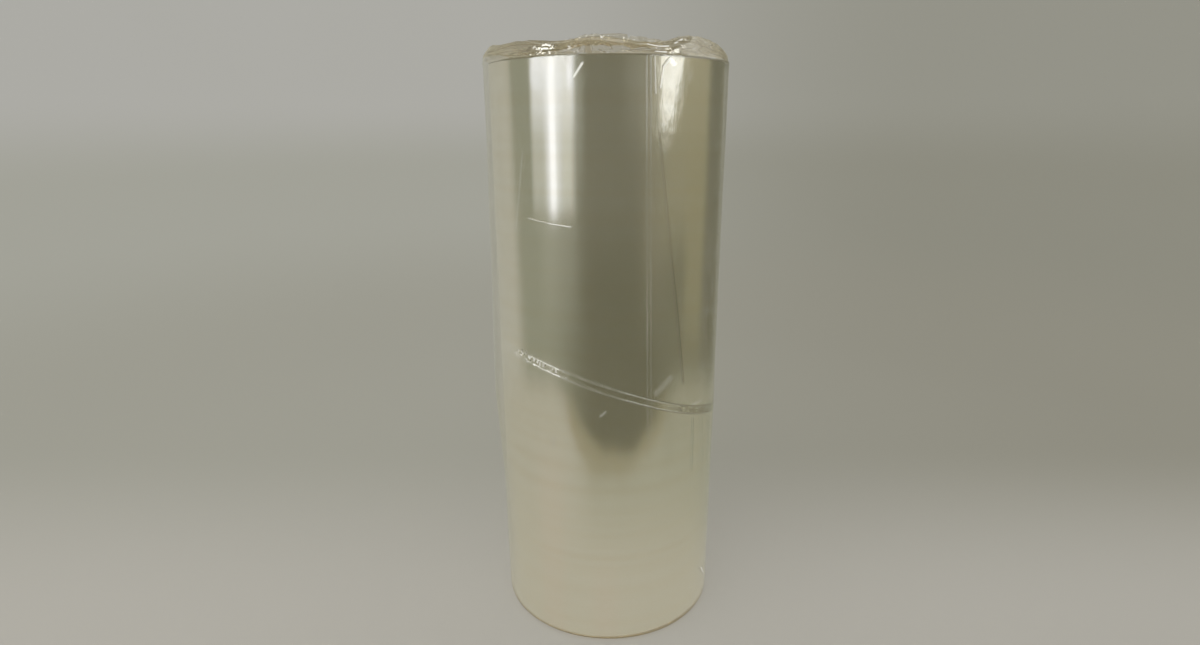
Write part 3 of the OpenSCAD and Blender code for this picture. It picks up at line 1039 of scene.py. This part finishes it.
def sleeveSurface(paint, place, z, angle):
    s = bagLook
    b = bagSizes
    tilt = b["seamRise"] * paint.maths("COSINE", (angle - b["seamLowAt"]) * math.radians(1))
    seamAt = (b["foot"] + b["seamHeight"] - tilt) * mm
    fromSeam = abs(z - seamAt)
    beads = abs(fromSeam - b["seamWidth"] / 2 * mm).rise(0.62 * mm, 0.2 * mm)
    speck = noiseAt(paint, place, 420.0, 2.0)
    rucked = fromSeam.rise(4.6 * mm, 2.8 * mm) * (angle.band(-46, -21, 4) + angle.band(-58, -44, 4) * 0.3)
    leanStep = (b["head"] - b["foot"]) / b["creaseLean"]      # mm of height in a degree of lean
    crease = abs(angle - (b["creaseAt"] + (b["head"] - z * 1000.0) / leanStep))
    creaseLines = abs(crease - 0.9).rise(0.34, 0.1)
    hem = z.rise(2.6 * mm, 1.6 * mm)
    streak = stretched(paint, (angle * 0.5, 0.0, z * 9.0), 1.0)
    fine = noiseAt(paint, place, 560.0, 1.0)
    # Pale marks, painted highlights: sparkles on the beads and the rucked film, streaks along the crease
    # lines and the listed bright lines.
    pale = beads * (0.02 + 0.07 * speck.rise(0.42, 0.6)) + rucked * 0.70 * fine.rise(0.585, 0.66)
    pale = pale + creaseLines * (0.03 + 0.10 * streak.rise(0.4, 0.65)) * z.rise(0.16, 0.30)
    spot = paint.node("ShaderNodeCombineXYZ", sockets={"X": angle * arcStep, "Y": z * 1000.0, "Z": 1.0})
    for start, end, half, strength in highlightLines:
        pale = pale.atLeast(lineMask(spot, start, end, half) * strength)
    # Dark marks, painted shade: the hem at the foot, a line under the beads, the rim line under the crown,
    # crinkles at the right and the listed dark lines.
    shadowUnderBeads = abs(fromSeam - 3.9 * mm).rise(0.5 * mm, 0.15 * mm)
    rimShade = abs(z - 500.9 * mm).rise(0.9 * mm, 0.4 * mm) * 0.30 * (1.0 - angle.band(-140, -50, 8))
    crinkled = fromSeam.rise(3.8 * mm, 2.8 * mm) * angle.rise(26, 46) * angle.rise(150, 110)
    crinkled = crinkled * abs(speck - 0.52).rise(0.05, 0.012) * 0.6
    dark = (hem * 0.5).atLeast(shadowUnderBeads * (0.05 + 0.20 * angle.rise(0, 40))).atLeast(
        rimShade).atLeast(crinkled)
    for start, end, half, strength in darkLines:
        dark = dark.atLeast(lineMask(spot, start, end, half) * strength)
    # Crinkles at the right edge, painted as dark shade lines and pale highlight lines.
    edgeFolds = stretched(paint, (angle * 0.62, 7.0, z * 15.0), 1.0)
    edgeHere = angle.band(56, 74, 8) * z.band(0.235, 0.335, 0.05)
    dark = dark.atLeast(abs(edgeFolds - 0.54).rise(0.035, 0.01) * edgeHere * 0.24)
    pale = pale + abs(edgeFolds - 0.44).rise(0.03, 0.01) * edgeHere * 0.12
    # The film's tone: olive where shade is painted, amber at the hem as painted shade at the foot.
    tone = (dark * 8.0).atMost(1.0).colours(s["white"], s["shadeOlive"])
    tone = hem.colours(tone, s["amber"])
    height = fine * rucked * 0.5 + speck * fromSeam.rise(6 * mm, 3 * mm) * 0.2 + (beads + creaseLines) * 0.3
    ripple = paint.node("ShaderNodeBump", {}, {"Strength": 0.6, "Distance": 0.6 * mm, "Height": height})
    gloss = s["gloss"] + rucked * 0.05 + facingWeight(paint, ripple) ** 5.0 * 0.85
    return filmSurface(paint, s["haze"] + pale + dark, s["clear"], tone, gloss, ripple)


def crownSurface(paint, place, z, radius, angle):
    s = bagLook
    wave = noiseAt(paint, place, 26.0, 0.0)
    inner = radius.rise(93 * mm, 76 * mm)       # towards the mouth the folds run in to the core
    folds = stretched(paint, (angle * (0.045 + inner * 0.20), radius * 40.0,
                              z * (170.0 - inner * 130.0) + wave * 2.0), 1.0)
    crinkle = paint.node("ShaderNodeTexNoise", sockets={"Vector": place, "Scale": 95.0, "Detail": 2.0,
                                                        "Distortion": 1.2})
    facets = paint.node("ShaderNodeTexVoronoi", {"feature": "DISTANCE_TO_EDGE"}, {
        "Vector": place, "Scale": 55.0, "Randomness": 1.0})
    glinting = (angle.band(-43, -20, 6) + angle.band(22, 44, 5) * 0.7) * (1.0 - inner)
    ripple = paint.node("ShaderNodeBump", {}, {
        "Strength": 0.6, "Distance": 0.6 * mm,
        "Height": crinkle * (0.9 + glinting * 3.0) + folds * (3.0 + inner * 2.0)
        + facets.rise(0.0, 0.22) * inner * 1.8})
    facing = facingWeight(paint, ripple)
    spot = paint.node("ShaderNodeCombineXYZ", sockets={
        "X": angle * arcStep, "Y": z * 1000.0 + wave * 5.0, "Z": 1.0})
    # Brown is painted shade: a wedge in the fold near -7.6 degrees, the listed fold lines and lines along the
    # noise's folds.
    brown = (abs(angle + 7.6) - (511 * mm - z) * 200.0).rise(0.3, -0.3) * (1.0 - inner) * 0.32
    for start, end, half, strength in crownShadeLines:
        brown = brown.atLeast(lineMask(spot, start, end, half) * strength)
    brown = brown.atLeast(abs(folds - 0.47).rise(0.016, 0.003) * s["foldShade"] * (1.0 - inner * 0.7))
    # Pale lines are painted glints: along the noise's folds and at the listed places.
    pale = abs(folds - 0.56).rise(0.012, 0.003) * 0.26 * (0.3 + glinting)
    for start, end, half, strength in crownGlints:
        pale = pale.atLeast(lineMask(spot, start, end, half) * (1.0 - inner) * strength)
    haze = s["crownHaze"] + facing ** 2.5 * s["edgeHaze"] + pale
    tone = (brown * 4.0).atMost(1.0).colours(pale.rise(0.0, 0.1).colours(s["beige"], s["white"]), s["brown"])
    gloss = s["crownGloss"] * (0.6 + glinting) + facing ** 5.0 * 0.42
    return filmSurface(paint, haze.atLeast(brown), s["crownClear"], tone, gloss, ripple)


def bagMaterial():  # two surfaces, so that a ray works out only the one that it meets
    material, paint = newMaterial("clearBagFilm")
    place, z, radius, angle = objectPlace(paint)
    s = bagSizes
    crown = z - angle.band(-140, -52, 14) * s["overhangLeft"] * mm
    crown = crown.rise((s["head"] + 0.1) * mm, (s["head"] + 0.9) * mm)
    finishMaterial(paint, paint.node("ShaderNodeMixShader", sockets={
        0: crown, 1: sleeveSurface(paint, place, z, angle), 2: crownSurface(paint, place, z, radius, angle)}))
    return material


filmBag = makeFilmBag()
filmBag.data.materials.append(bagMaterial())
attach(filmBag, "root")
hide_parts("over_bag")
print("stage 5: bag made,", len(filmBag.data.polygons), "faces")
